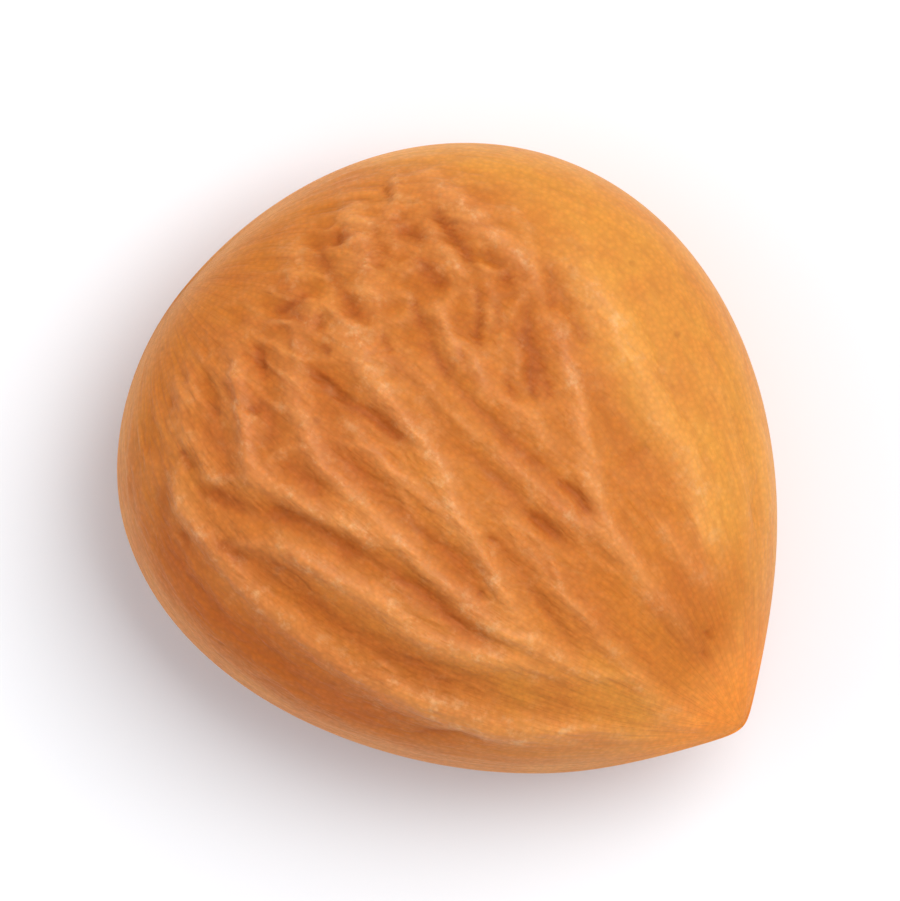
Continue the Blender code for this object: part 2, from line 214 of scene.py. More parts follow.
# Lesser ribs between them, with height as a share of FINE_RIB_HEIGHT.
FINE_RIBS = (
    (0.5, 0.28, ((-4.8, 3.2), (-3.6, 3.28), (-2.3, 3.2))),
    (0.6, 0.30, ((1.2, -4.1), (2.2, -3.85), (3.2, -3.4), (4.0, -2.9))),
    (0.5, 0.22, ((-2.3, -3.8), (-1.4, -3.5), (-0.2, -3.25))),
    (0.9, 0.14, ((-0.9, 2.65), (-0.4, 2.25), (0.1, 2.2), (0.6, 1.75))),
    (0.6, 0.12, ((-2.45, 2.2), (-2.2, 2.05), (-2.05, 1.8))),
    (0.8, 0.12, ((-1.65, 2.3), (-1.3, 1.9), (-1.1, 1.6))),
    (0.7, 0.14, ((-3.2, 1.65), (-2.6, 1.35), (-1.9, 1.0))),
    (0.8, 0.14, ((-3.0, 2.65), (-2.6, 2.45), (-2.2, 2.3))),
    (0.8, 0.30, ((2.7, 1.5), (3.4, 1.4), (4.3, 1.2))),
    (0.8, 0.16, ((-1.4, 3.8), (-0.6, 3.75), (-0.1, 3.4), (0.6, 3.3))),
    (0.8, 0.16, ((-5.4, 1.4), (-5.0, 1.4), (-4.5, 1.2))),
    (0.9, 0.13, ((-2.0, 1.4), (-1.5, 1.1), (-1.3, 0.85))),
    (0.7, 0.13, ((-1.5, 0.35), (-1.1, 0.28), (-0.7, 0.25))),
    (0.7, 0.14, ((-4.7, 0.15), (-3.8, 0.1), (-3.2, -0.1))),
    (0.8, 0.14, ((-4.95, 2.3), (-4.7, 2.1), (-4.3, 1.7))),
    (0.8, 0.13, ((-5.4, 2.9), (-5.0, 2.5), (-4.9, 2.0), (-5.3, 1.6))),
    (0.7, 0.14, ((0.6, -0.35), (1.2, -0.3), (1.9, -0.45), (2.5, -0.7), (3.3, -0.75))),
    (0.9, 0.14, ((-0.4, -1.0), (0.3, -1.1), (0.8, -1.25), (1.3, -1.45), (1.8, -1.5))),
    (0.7, 0.16, ((3.1, -1.7), (3.7, -1.5), (4.1, -1.2), (4.6, -0.8))),
    (0.6, 0.20, ((4.5, -1.0), (5.2, -1.1), (5.7, -0.95), (6.1, -0.6))),
    (0.8, 0.13, ((-5.1, -0.8), (-4.8, -0.6), (-4.3, -0.9), (-4.1, -1.35))),
    (0.8, 0.13, ((-2.8, -4.5), (-2.7, -4.2), (-2.3, -3.85))),
    (0.7, 0.18, ((-3.3, -3.1), (-3.7, -3.45), (-4.1, -3.85))),
    (0.9, 0.14, ((-4.95, -2.0), (-4.35, -2.35), (-3.85, -2.8), (-3.35, -3.15))),
    (0.7, 0.15, ((-3.0, -1.95), (-3.35, -2.5), (-3.25, -3.0))),
    (0.6, 0.14, ((-5.7, -2.8), (-5.1, -3.2), (-4.7, -3.6), (-4.3, -4.25))),
    (0.6, 0.14, ((2.9, 4.15), (3.6, 3.6), (4.3, 2.95))),
    (0.6, 0.13, ((2.0, -2.0), (2.3, -1.9), (2.6, -1.6))),
    (0.7, 0.14, ((0.3, 1.9), (1.2, 1.45), (2.0, 0.85), (3.0, 0.6))),
    (0.6, 0.15, ((2.2, 2.95), (3.0, 2.2), (3.8, 1.6))),
    (0.5, 0.15, ((3.0, 3.35), (3.5, 3.0), (4.1, 2.4), (4.6, 1.9))),
    (0.5, 0.14, ((3.6, -3.0), (4.3, -2.4), (4.9, -1.8))),
    (0.7, 0.13, ((-3.4, 3.9), (-2.6, 3.6), (-1.9, 3.0))),
    (0.6, 0.13, ((-2.7, -1.6), (-2.0, -1.2), (-1.4, -1.3))),
    (0.6, 0.13, ((-1.4, -1.3), (-0.7, -1.6), (0.0, -2.0))),
    (0.6, 0.13, ((-0.3, -2.7), (0.5, -2.8), (1.2, -2.6), (1.7, -2.3))),
)

# Lesser furrows and pits, with depth as a share of FINE_FURROW_DEPTH.
FINE_FURROWS = (
    (0.5, 0.26, ((-3.1, 0.25), (-2.1, 0.18), (-1.0, 0.15))),
    (0.6, 0.24, ((-5.0, -0.5), (-4.4, -0.25))),
    (0.5, 0.20, ((2.5, -2.45), (3.1, -2.15), (3.8, -1.85))),
    (0.7, 0.12, ((-4.35, 2.88), (-3.7, 2.72), (-3.0, 2.58))),
    (0.6, 0.12, ((0.9, 3.55), (1.4, 3.4), (2.0, 3.3))),
    (0.6, 0.12, ((0.0, 3.25), (0.4, 3.15))),
    (0.8, 0.13, ((-5.3, 2.5), (-5.1, 2.4))),
    (0.8, 0.12, ((-4.5, 2.25), (-4.1, 2.3))),
    (0.8, 0.13, ((-3.8, 1.95), (-3.3, 1.9))),
    (1.0, 0.13, ((-2.5, 2.9), (-2.4, 2.8))),
    (0.6, 0.13, ((-1.95, 2.8), (-1.55, 2.45), (-1.3, 2.1))),
    (0.9, 0.14, ((-1.2, 2.2), (-0.8, 2.1))),
    (0.9, 0.12, ((-2.75, 2.25), (-2.35, 2.0), (-2.15, 1.7), (-1.9, 1.55))),
    (0.6, 0.11, ((-2.3, 2.35), (-2.05, 2.2), (-1.95, 1.95))),
    (0.9, 0.13, ((-1.1, 2.0), (-0.8, 1.75), (-0.5, 1.6))),
    (0.8, 0.12, ((-1.3, 1.6), (-0.9, 1.3))),
    (0.8, 0.13, ((-0.65, 2.05), (-0.35, 1.75))),
    (0.9, 0.13, ((-3.5, 1.35), (-3.0, 1.05))),
    (0.4, 0.12, ((-5.1, 2.0), (-4.6, 1.6), (-4.2, 1.25))),
    (0.9, 0.15, ((-2.2, 3.6), (-1.8, 3.35), (-1.45, 3.0))),
    (0.9, 0.15, ((-1.5, 3.4), (-1.0, 3.15), (-0.5, 3.0))),
    (0.7, 0.12, ((-3.5, 0.5), (-3.1, 0.35))),
    (0.7, 0.12, ((-2.3, 1.25), (-1.9, 1.15))),
    (0.5, 0.12, ((-3.2, 1.2), (-2.8, 1.0), (-2.0, 0.78))),
    (0.9, 0.13, ((-5.4, 1.25), (-5.2, 1.1))),
    (0.9, 0.13, ((-4.6, -0.1), (-4.3, -0.3))),
    (0.9, 0.13, ((-4.1, -0.45), (-3.9, -0.4))),
    (0.9, 0.13, ((-5.2, -0.6), (-5.0, 0.1))),
    (0.4, 0.13, ((-4.9, 1.8), (-4.7, 1.5))),
    (0.9, 0.14, ((-0.5, 4.25), (0.3, 3.95), (1.0, 3.5), (1.8, 3.3))),
    (0.7, 0.13, ((2.3, 3.1), (2.6, 2.8))),
    (0.6, 0.13, ((3.5, 3.4), (3.8, 3.0), (4.1, 2.7))),
    (0.6, 0.13, ((1.5, 2.4), (1.7, 2.25))),
    (1.0, 0.16, ((0.9, 0.05), (1.2, 0.02), (1.6, 0.0))),
    (1.0, 0.15, ((0.9, 0.8), (1.3, 0.85), (1.7, 0.75))),
    (0.6, 0.12, ((0.6, -0.9), (0.8, -0.85))),
    (0.3, 0.13, ((2.2, -1.1), (2.8, -1.2), (3.3, -1.28))),
    (0.8, 0.12, ((1.15, -1.75), (1.3, -1.75))),
    (0.6, 0.14, ((0.0, -2.65), (0.5, -2.45), (1.3, -2.45), (1.9, -2.25), (2.2, -2.32))),
    (0.4, 0.14, ((1.1, -3.6), (1.5, -3.35), (2.0, -3.1), (2.8, -2.9))),
    (0.6, 0.12, ((2.1, -4.6), (2.7, -3.95), (3.2, -3.65))),
    (0.9, 0.13, ((-4.9, -1.35), (-4.6, -1.6))),
    (0.9, 0.13, ((-4.3, -2.2), (-4.1, -2.15))),
    (0.7, 0.20, ((-3.8, -3.9), (-3.0, -3.75))),
    (0.6, 0.14, ((-2.6, -3.35), (-2.2, -3.1), (-1.6, -2.9), (-0.6, -2.7))),
    (0.8, 0.13, ((-4.7, -3.7), (-4.3, -3.9))),
    (0.5, 0.13, ((-4.0, -3.95), (-3.7, -4.05))),
    (0.9, 0.15, ((-2.65, -3.4), (-2.35, -3.15))),
    (0.8, 0.13, ((-3.9, -0.97), (-3.4, -0.93), (-3.0, -0.82))),
    (0.7, 0.12, ((-2.8, -0.76), (-2.2, -0.72), (-1.75, -0.62))),
    (0.9, 0.13, ((-3.0, -4.4), (-2.4, -4.4))),
    (0.7, 0.13, ((-3.7, -4.85), (-3.3, -4.87))),
    (0.4, 0.13, ((-5.3, -2.4), (-5.2, -2.5))),
    (0.5, 0.13, ((-4.75, -2.65), (-4.6, -2.8))),
    (0.4, 0.12, ((-5.5, -3.1), (-5.3, -3.4))),
    (0.6, 0.12, ((4.8, 0.65), (5.0, 0.6))),
    (0.5, 0.12, ((5.0, 0.35), (5.2, 0.3))),
)

# Fan of ribs on the underside, out of sight in the photo: a rib in each lane across the face, and forks from
# lane to lane. Starts, ends and runs are shares of the way from the point to the blunt end.
UNDER_SEED = 11
UNDER_LANES = 11
UNDER_LANE_REACH = 0.80
UNDER_POINTS = 6
UNDER_WANDER = 0.28
UNDER_HALF_WIDTH = 0.27
UNDER_START = (0.84, 0.93)
UNDER_END = (0.22, 0.34)
UNDER_EDGE_CUT = 0.12
UNDER_STRENGTH = (0.70, 1.00)
FORKS = 9
FORK_START = (0.45, 0.85)
FORK_RUN = 0.20
FORK_STRENGTH = (0.60, 0.90)
REST_SMOOTH_INNER = 1.5
REST_SMOOTH_OUTER = 3.6


def smooth_step(value, low, high):
    """0 below low, 1 above high, and an S-curve between them."""
    t = np.clip((value - low) / (high - low), 0, 1)
    return t * t * (3 - 2 * t)


def smooth_curve(points):
    """Catmull-Rom curve through a few points."""
    knots = np.array(points)
    padded = np.vstack((2 * knots[0] - knots[1], knots, 2 * knots[-1] - knots[-2]))
    t = np.linspace(0, 1, CURVE_STEPS, endpoint=False)[:, None]
    runs = []
    for a, b, c, d in zip(padded, padded[1:], padded[2:], padded[3:]):
        runs.append(0.5 * (2 * b + (c - a) * t + (2 * a - 5 * b + 4 * c - d) * t ** 2
                           + (3 * b - a - 3 * c + d) * t ** 3))
    return np.vstack(runs + [knots[-1:]])


def net(strokes, x, y):
    """Height from 0 to 1 of a net of strokes. Where two meet, the height nears 1 without passing it."""
    clear = np.ones_like(x)
    for strength, half_width, points in strokes:
        curve = smooth_curve(points)
        reach = STROKE_REACH * half_width
        near = (x > curve[:, 0].min() - reach) & (x < curve[:, 0].max() + reach)
        near &= (y > curve[:, 1].min() - reach) & (y < curve[:, 1].max() + reach)
        starts = curve[:-1]
        steps = curve[1:] - starts
        from_start = np.column_stack((x[near], y[near]))[:, None, :] - starts
        part = np.clip((from_start * steps).sum(axis=2) / (steps ** 2).sum(axis=1), 0, 1)
        distance = np.linalg.norm(from_start - part[:, :, None] * steps, axis=2)
        nearest = distance.argmin(axis=1)
        along = (nearest + part[np.arange(len(nearest)), nearest]) / len(steps)
        taper = smooth_step(along, -RIB_LEAD, RIB_RISE) * smooth_step(1 - along, -RIB_LEAD, RIB_SINK)
        off = (distance.min(axis=1) / half_width) ** 2
        ridge = CREST_SHARE * np.exp(-off / CREST_SPREAD) + (1 - CREST_SHARE) * np.exp(-off / FOOT_SPREAD)
        clear[near] *= 1 - strength * taper * ridge
    return 1 - clear


def under_ribs():
    """Strokes of the underside's fan: a wandering rib in each lane, and forks from one lane to the next."""
    dice = random.Random(UNDER_SEED)
    spacing = 2 * UNDER_LANE_REACH / (UNDER_LANES - 1)

    def stroke(start, end, from_lane, to_lane, strength):
        points = []
        for step in range(UNDER_POINTS):
            t = step / (UNDER_POINTS - 1)
            swing = spacing * dice.uniform(-UNDER_WANDER, UNDER_WANDER)
            lane = from_lane + (to_lane - from_lane) * t + swing
            px, py = plan_place(start + (end - start) * t, np.array(lane))
            points.append((float(px), float(py)))
        return strength, UNDER_HALF_WIDTH, tuple(points)

    strokes = []
    lanes = [-UNDER_LANE_REACH + spacing * k for k in range(UNDER_LANES)]
    for lane in lanes:
        start = dice.uniform(*UNDER_START)
        end = dice.uniform(*UNDER_END) + UNDER_EDGE_CUT * abs(lane)
        strokes.append(stroke(start, end, lane, lane, dice.uniform(*UNDER_STRENGTH)))
    for _ in range(FORKS):
        k = dice.randrange(UNDER_LANES - 1)
        start = dice.uniform(*FORK_START)
        ends = dice.sample((lanes[k], lanes[k + 1]), 2)
        strokes.append(stroke(start, start - FORK_RUN, ends[0], ends[1], dice.uniform(*FORK_STRENGTH)))
    return strokes


def rough(spots, offset):
    """Smooth noise from about -1 to 1, one unit from hump to hump. Each offset gives other humps."""
    shift = Vector((offset, offset * 0.7, -offset))
    return np.array([noise.noise(Vector(spot) + shift) for spot in spots.tolist()])


# The ribs wander a little off their drawn curves, and thin and thicken along the way. Sizes are from hump to
# hump.
WANDER = 0.07
WANDER_SIZE = 0.9
FINE_WANDER = 0.03
FINE_WANDER_SIZE = 0.32
wander_x = WANDER * rough(places / WANDER_SIZE, offset=3.1)
wander_x += FINE_WANDER * rough(places / FINE_WANDER_SIZE, offset=8.3)
wander_y = WANDER * rough(places / WANDER_SIZE, offset=17.4)
wander_y += FINE_WANDER * rough(places / FINE_WANDER_SIZE, offset=29.6)
drawn_x = x + wander_x
drawn_y = y + wander_y
top = up > 0
face = smooth_step(np.abs(up), RIM_START, RIM_END)
rest_x, rest_y = plan_place(fullest_share(THICKNESS_SWELL), np.array(0.0))
off_rest = smooth_step(np.hypot(x - rest_x, y - rest_y), REST_SMOOTH_INNER, REST_SMOOTH_OUTER)
ribs = np.zeros_like(x)
furrows = np.zeros_like(x)
fine_ribs = np.zeros_like(x)
fine_furrows = np.zeros_like(x)
ribs[top] = net(FACE_RIBS, drawn_x[top], drawn_y[top])
ribs[~top] = net(under_ribs(), drawn_x[~top], drawn_y[~top]) * off_rest[~top]
furrows[top] = net(FACE_FURROWS, drawn_x[top], drawn_y[top])
fine_ribs[top] = net(FINE_RIBS, drawn_x[top], drawn_y[top])
fine_furrows[top] = net(FINE_FURROWS, drawn_x[top], drawn_y[top])

# Kernel, wrinkles and keel.
# Between the ribs the coat is drawn into a finer net, long-meshed along the seed and rounder at the blunt
# end. A low keel runs along the narrow edge, where the strand from the stone entered.
MM = 0.001
MEAN_HALF_WIDTH = 5.9
VEIN_HEIGHT = 0.027
VEIN_WIDTH = 0.62
VEIN_RUN = 2.2
VEIN_BEND = 0.25
VEIN_FOOT = 0.45
NET_WIDTH = 0.66
NET_RUN = 1.8 * NET_WIDTH
NET_RELIEF = 0.8
GOLD_SMOOTHING = 0.75
WAVE_HEIGHT = 0.05
WAVE_SIZE = 2.6
KEEL_HEIGHT = 0.08
KEEL_HALF_WIDTH = 0.40
KEEL_END = 0.16
KEEL_SIDE = (0.30, 0.80)

# Where the coat changes. Each pair is where a mask starts to change and where it is done: shares of the way
# from the point to the blunt end, or of the half-width or half-thickness.
NET_RISE = (0.58, 0.76)
NET_WIDE_LEAN = 0.16
NET_WIDE_REACH = 0.8
NET_NARROW_LEAN = 0.35
NET_NARROW_REACH = 0.5
TIP_FALL = (0.03, 0.13)
RIM_FALL = (0.15, 0.48)
GOLD_RISE = (0.42, 0.64)
GOLD_NARROWING = 0.9
GOLD_NARROWING_START = 0.45
GOLD_TIP_RISE = (0.03, 0.25)
GOLD_BLUNT_RISE = (0, 0.12)
RUDDY_RISE = (0.60, 0.90)
FOLD_TIP_RISE = (0.08, 0.40)
FOLD_BLUNT_RISE = (0.02, 0.12)

# Oval patches of the upper face: strength, then middle and half-lengths in mm.
GOLD_PATCHES = ((0.95, 4.7, -1.35, 1.3, 0.62), (0.5, 3.0, -2.6, 1.2, 0.9))
DUSKY_PATCH = (0.35, 4.7, 0.45, 0.6, 0.45)


def patch(strength, middle_x, middle_y, half_x, half_y):
    """Soft oval patch on the upper face, as strong as given in its middle."""
    return strength * np.exp(-((x - middle_x) / half_x) ** 2 - ((y - middle_y) / half_y) ** 2) * top


def meshes(spots):
    """Net of thin raised lines from 0 to 1, between cells about one unit across."""
    gaps = []
    for spot in spots.tolist():
        nearest = noise.voronoi(Vector(spot))[0]
        gaps.append(nearest[1] - nearest[0])
    return 1 - smooth_step(np.array(gaps), 0, VEIN_FOOT)


# Places unrolled along the seed, so that patterns run from end to end as its ribs do. The 7.0 gives the round
# net cells of its own.
unrolled = np.column_stack((LENGTH * share, MEAN_HALF_WIDTH * across, HALF_THICKNESS * up))
bent = unrolled + VEIN_BEND * np.column_stack((wander_x, wander_y, wander_x - wander_y)) / WANDER
long_net = meshes(bent / (VEIN_RUN, VEIN_WIDTH, VEIN_WIDTH))
round_net = meshes(bent / (NET_RUN, NET_WIDTH, NET_WIDTH) + 7.0)

# The round net reaches further towards the point on the wide side than on the narrow one.
lean = NET_WIDE_LEAN * np.clip(across, 0, NET_WIDE_REACH)
lean += NET_NARROW_LEAN * np.clip(across, -NET_NARROW_REACH, 0)
netted = smooth_step(share + lean, *NET_RISE)
tip = 1 - smooth_step(share, *TIP_FALL)
# The rim is painted paler: partly rubbed wear, partly a painted sheen where light catches the edge.
level = np.abs(up) * girth(share, THICKNESS_SWELL)
rim_rub_and_painted_sheen = (1 - smooth_step(level, *RIM_FALL)) * (1 - tip)

# The golden band follows the wide edge, narrows towards the blunt end and ends before it. It is partly the
# coat's own golden tone and partly painted light, as the wide edge faces the key soft box.
narrowing = GOLD_NARROWING * np.clip(share - GOLD_NARROWING_START, 0, 1)
gold_and_painted_light = smooth_step(across - narrowing, *GOLD_RISE) * smooth_step(share, *GOLD_TIP_RISE)
for golden_patch in GOLD_PATCHES:
    gold_and_painted_light += patch(*golden_patch)
gold_and_painted_light = np.clip(gold_and_painted_light, 0, 1) * smooth_step(1 - share, *GOLD_BLUNT_RISE)
# The narrow side is made ruddier and darker: partly the coat's own red tone and partly painted shade, as it
# turns away from the key soft box.
ruddy_and_painted_shade = smooth_step(-across * girth(share, NARROW_SWELL), *RUDDY_RISE)
ends = smooth_step(share, *FOLD_TIP_RISE) * smooth_step(1 - share, *FOLD_BLUNT_RISE)
veins = (long_net * (1 - netted) + round_net * netted) * (1 - GOLD_SMOOTHING * gold_and_painted_light) * ends
waves = rough(places / WAVE_SIZE, offset=41.0)
keel = np.exp(-(up * HALF_THICKNESS / KEEL_HALF_WIDTH) ** 2) * smooth_step(-across, *KEEL_SIDE)
keel *= smooth_step(share, 0, KEEL_END) * smooth_step(1 - share, 0, KEEL_END)

# All the relief is laid on along the bare form's normals, and the flat spot is cut off level.
raised = RIB_HEIGHT * ribs - FURROW_DEPTH * furrows
raised += FINE_RIB_HEIGHT * fine_ribs - FINE_FURROW_DEPTH * fine_furrows
raised += VEIN_HEIGHT * (1 + NET_RELIEF * netted) * (veins - 0.5) * np.where(top, 1, off_rest)
raised = face * raised + WAVE_HEIGHT * waves * face + KEEL_HEIGHT * keel
places += outward * raised[:, None]
places[:, 2] = np.maximum(places[:, 2], REST_HEIGHT)

# The middle of the skin's box goes over the middle of the solid's, with both on the same floor.
solid_low, solid_high = (np.array(corner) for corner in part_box("kernel"))
middle = (places.min(axis=0) + places.max(axis=0)) / 2
stand = np.array((middle[0], middle[1], REST_HEIGHT))
floor_spot = np.array(((solid_low[0] + solid_high[0]) / 2, (solid_low[1] + solid_high[1]) / 2, solid_low[2]))
skin.vertices.foreach_set("co", ((places - stand) * MM + floor_spot).ravel())
skin.update()
skin.shade_smooth()

# Kernel, seed coat.
# Dried apricot seed coat: a papery brown skin of dead, tannin-stained cells. It is matt and a little
# scurfy, paler and rubbed on the ribs, red brown and dull in the furrows, which are also darkened as painted
# shade.

# What its colours and folds go by: pale crests, dark hollows, and where each colour lies. A power above 1
# draws a crest or hollow in to its middle.
RIB_POWER = 1.3
FINE_POWER = 1.2
FINE_RIB_PALENESS = 0.65
VEIN_PALENESS = 0.17
NET_VEIN_PALENESS = 0.15
FURROW_DARKNESS = 0.90
CELL_DARKNESS = 0.10
NET_CELL_DARKNESS = 0.22
HOLLOW_STRENGTH = 0.85
TIP_AND_PAINTED_LIGHT_STRENGTH = 0.9
RIM_RUB_AND_PAINTED_SHEEN_STRENGTH = 0.45
RUDDY_AND_PAINTED_SHADE_STRENGTH = 0.6
FOLD_SMOOTHING = 0.8


def mark(mesh, name, values):
    """Keeps a number or a place at each vertex of the mesh, for its material."""
    kind = "FLOAT_VECTOR" if values.ndim == 2 else "FLOAT"
    layer = mesh.attributes.new(name, kind, "POINT")
    layer.data.foreach_set("vector" if values.ndim == 2 else "value", values.ravel())


crest = ribs ** RIB_POWER + FINE_RIB_PALENESS * fine_ribs ** FINE_POWER
crest += (VEIN_PALENESS + NET_VEIN_PALENESS * netted) * veins
# Furrows, hollows and the cells between veins are darkened: partly the coat's own red brown, partly painted
# shade of the relief.
hollow_and_painted_shade = FURROW_DARKNESS * furrows ** FINE_POWER + fine_furrows ** FINE_POWER + patch(*DUSKY_PATCH)
hollow_and_painted_shade += (CELL_DARKNESS + NET_CELL_DARKNESS * netted) * (1 - veins) * ends
mark(skin, "crest", np.clip(crest, 0, 1) * face)
mark(skin, "hollow_and_painted_shade", HOLLOW_STRENGTH * np.clip(hollow_and_painted_shade, 0, 1) * face)
mark(skin, "gold_and_painted_light", gold_and_painted_light)
# The point is painted brighter orange: partly its own colour, partly painted light over the shade that falls
# there.
mark(skin, "tip", TIP_AND_PAINTED_LIGHT_STRENGTH * tip)
mark(skin, "rim_rub_and_painted_sheen", RIM_RUB_AND_PAINTED_SHEEN_STRENGTH * rim_rub_and_painted_sheen)
mark(skin, "ruddy_and_painted_shade", RUDDY_AND_PAINTED_SHADE_STRENGTH * ruddy_and_painted_shade)
mark(skin, "folds", np.clip(ends * (1 - FOLD_SMOOTHING * gold_and_painted_light) * (1 - rim_rub_and_painted_sheen), 0, 1))
mark(skin, "grain", unrolled)


def linear(hex_colour):
    """Colour in the renderer's linear light from an sRGB hex value."""
    channels = [int(hex_colour[k:k + 2], 16) / 255 for k in (1, 3, 5)]
    return tuple(c / 12.92 if c <= 0.04045 else ((c + 0.055) / 1.055) ** 2.4 for c in channels) + (1.0,)


def put(tree, kind, feeds=None, **settings):
    """Adds a node with its settings, and gives each named input a value or a link."""
    made = tree.nodes.new(kind)
    for name, value in settings.items():
        setattr(made, name, value)
    for name, value in (feeds or {}).items():
        socket = next(s for s in made.inputs if s.identifier == name)
        if isinstance(value, bpy.types.NodeSocket):
            tree.links.new(value, socket)
        else:
            socket.default_value = value
    return made


CREST_COLOUR = linear("#E69349")
HOLLOW_COLOUR = linear("#D07822")
FURROW_AND_PAINTED_SHADE_COLOUR = linear("#AE540C")
GOLD_AND_PAINTED_LIGHT_COLOUR = linear("#EEA44C")
GOLD_AND_PAINTED_LIGHT_HOLLOW_COLOUR = linear("#DE9236")
TIP_AND_PAINTED_LIGHT_COLOUR = linear("#FF9A38")
RUDDY_AND_PAINTED_SHADE_COLOUR = linear("#C25E12")
EDGE_RUB_AND_PAINTED_SHEEN_COLOUR = linear("#F0AE6C")
RUBBED_COLOUR = linear("#F7C68C")
STAIN_COLOUR = linear("#C86A2A")
SPECK_COLOUR = linear("#8A4318")
SHEEN_COLOUR = linear("#FFC08A")

# Widths across the seed and runs along it, in mm, as on the real coat.
MOTTLE_SIZE = 2.2
BLOTCH_WIDTH = 0.55
BLOTCH_RUN = 1.3
CREASE_WIDTH = 0.36
CREASE_RUN = 0.90
FLAKE_SIZE = 0.35
SPECK_SPACING = 0.75
SCURF_SIZE = 0.11

# Real rows of cells are about 0.04 mm wide and pores about 0.01 mm, too fine to show. Both are drawn about
# four times as coarse.
STREAK_WIDTH = 0.16
STREAK_RUN = 0.9
PORE_SIZE = 0.045

# Depths of the finest relief in mm, laid on in the material.
SCURF_DEPTH = 0.02
CREASE_DEPTH = 0.025
STREAK_DEPTH = 0.06
PORE_DEPTH = 0.015

coat = bpy.data.materials.new("dried_apricot_seed_coat")
coat.use_nodes = True
tree = coat.node_tree
tree.nodes.clear()
place = put(tree, "ShaderNodeTexCoord").outputs["Object"]
place = put(tree, "ShaderNodeVectorMath", {"Vector": place, "Vector_001": (1 / MM, 1 / MM, 1 / MM)},
            operation="MULTIPLY").outputs["Vector"]
crest_mark = put(tree, "ShaderNodeAttribute", attribute_name="crest").outputs["Fac"]
hollow_and_painted_shade_mark = put(tree, "ShaderNodeAttribute", attribute_name="hollow_and_painted_shade").outputs["Fac"]
gold_and_painted_light_mark = put(tree, "ShaderNodeAttribute", attribute_name="gold_and_painted_light").outputs["Fac"]
tip_and_painted_light_mark = put(tree, "ShaderNodeAttribute", attribute_name="tip").outputs["Fac"]
rim_rub_and_painted_sheen_mark = put(tree, "ShaderNodeAttribute", attribute_name="rim_rub_and_painted_sheen").outputs["Fac"]
ruddy_and_painted_shade_mark = put(tree, "ShaderNodeAttribute", attribute_name="ruddy_and_painted_shade").outputs["Fac"]
folds_mark = put(tree, "ShaderNodeAttribute", attribute_name="folds").outputs["Fac"]
grain = put(tree, "ShaderNodeAttribute", attribute_name="grain").outputs["Vector"]

# Large colours: red brown hollows that are partly painted shade, and paler crests; a golden band on the wide
# side that is partly painted light; a point painted brighter over its shade; a ruddy narrow side that is
# partly painted shade; and a pale rim, partly rubbed and partly a painted sheen.
colour = put(tree, "ShaderNodeMix", {"Factor_Float": crest_mark, "A_Color": HOLLOW_COLOUR,
                                     "B_Color": CREST_COLOUR}, data_type="RGBA").outputs[2]
colour = put(tree, "ShaderNodeMix", {"Factor_Float": hollow_and_painted_shade_mark, "A_Color": colour,
                                     "B_Color": FURROW_AND_PAINTED_SHADE_COLOUR}, data_type="RGBA").outputs[2]
golden_and_painted_light = put(tree, "ShaderNodeMix", {"Factor_Float": crest_mark, "A_Color": GOLD_AND_PAINTED_LIGHT_HOLLOW_COLOUR,
                                     "B_Color": GOLD_AND_PAINTED_LIGHT_COLOUR}, data_type="RGBA").outputs[2]
colour = put(tree, "ShaderNodeMix", {"Factor_Float": gold_and_painted_light_mark, "A_Color": colour, "B_Color": golden_and_painted_light},
             data_type="RGBA").outputs[2]
colour = put(tree, "ShaderNodeMix", {"Factor_Float": tip_and_painted_light_mark, "A_Color": colour, "B_Color": TIP_AND_PAINTED_LIGHT_COLOUR},
             data_type="RGBA").outputs[2]
colour = put(tree, "ShaderNodeMix", {"Factor_Float": ruddy_and_painted_shade_mark, "A_Color": colour, "B_Color": RUDDY_AND_PAINTED_SHADE_COLOUR},
             data_type="RGBA").outputs[2]
colour = put(tree, "ShaderNodeMix", {"Factor_Float": rim_rub_and_painted_sheen_mark, "A_Color": colour, "B_Color": EDGE_RUB_AND_PAINTED_SHEEN_COLOUR},
             data_type="RGBA").outputs[2]

# Mottle: patches where the coat is stained a little redder.
mottle = put(tree, "ShaderNodeTexNoise", {"Vector": place, "Scale": 1 / MOTTLE_SIZE, "Detail": 4.0,
                                          "Roughness": 0.62, "Distortion": 0.4}).outputs[0]
stained = put(tree, "ShaderNodeMapRange", {"Value": mottle, "From Min": 0.38, "From Max": 0.66,
                                           "To Max": 0.28}, interpolation_type="SMOOTHSTEP").outputs[0]
colour = put(tree, "ShaderNodeMix", {"Factor_Float": stained, "A_Color": colour, "B_Color": STAIN_COLOUR},
             data_type="RGBA").outputs[2]

# Blotches: patches about a millimetre long where the coat is thicker and darker.
spread = put(tree, "ShaderNodeMapping", {"Vector": grain, "Scale": (BLOTCH_WIDTH / BLOTCH_RUN, 1, 1)})
blotches = put(tree, "ShaderNodeTexNoise", {"Vector": spread.outputs["Vector"], "Scale": 1 / BLOTCH_WIDTH,
                                            "Detail": 3.0, "Roughness": 0.55, "Distortion": 0.6}).outputs[0]
shade = put(tree, "ShaderNodeMapRange", {"Value": blotches, "From Min": 0.32, "From Max": 0.62,
                                         "To Min": 0.90, "To Max": 1.03}).outputs[0]
warmth = put(tree, "ShaderNodeMapRange", {"Value": blotches, "From Min": 0.32, "From Max": 0.62,
                                          "To Min": 0.97, "To Max": 1.03}).outputs[0]
shade = put(tree, "ShaderNodeCombineColor", {"Red": warmth, "Green": shade, "Blue": shade}).outputs["Color"]
colour = put(tree, "ShaderNodeMix", {"Factor_Float": 1.0, "A_Color": colour, "B_Color": shade},
             data_type="RGBA", blend_type="MULTIPLY").outputs[2]

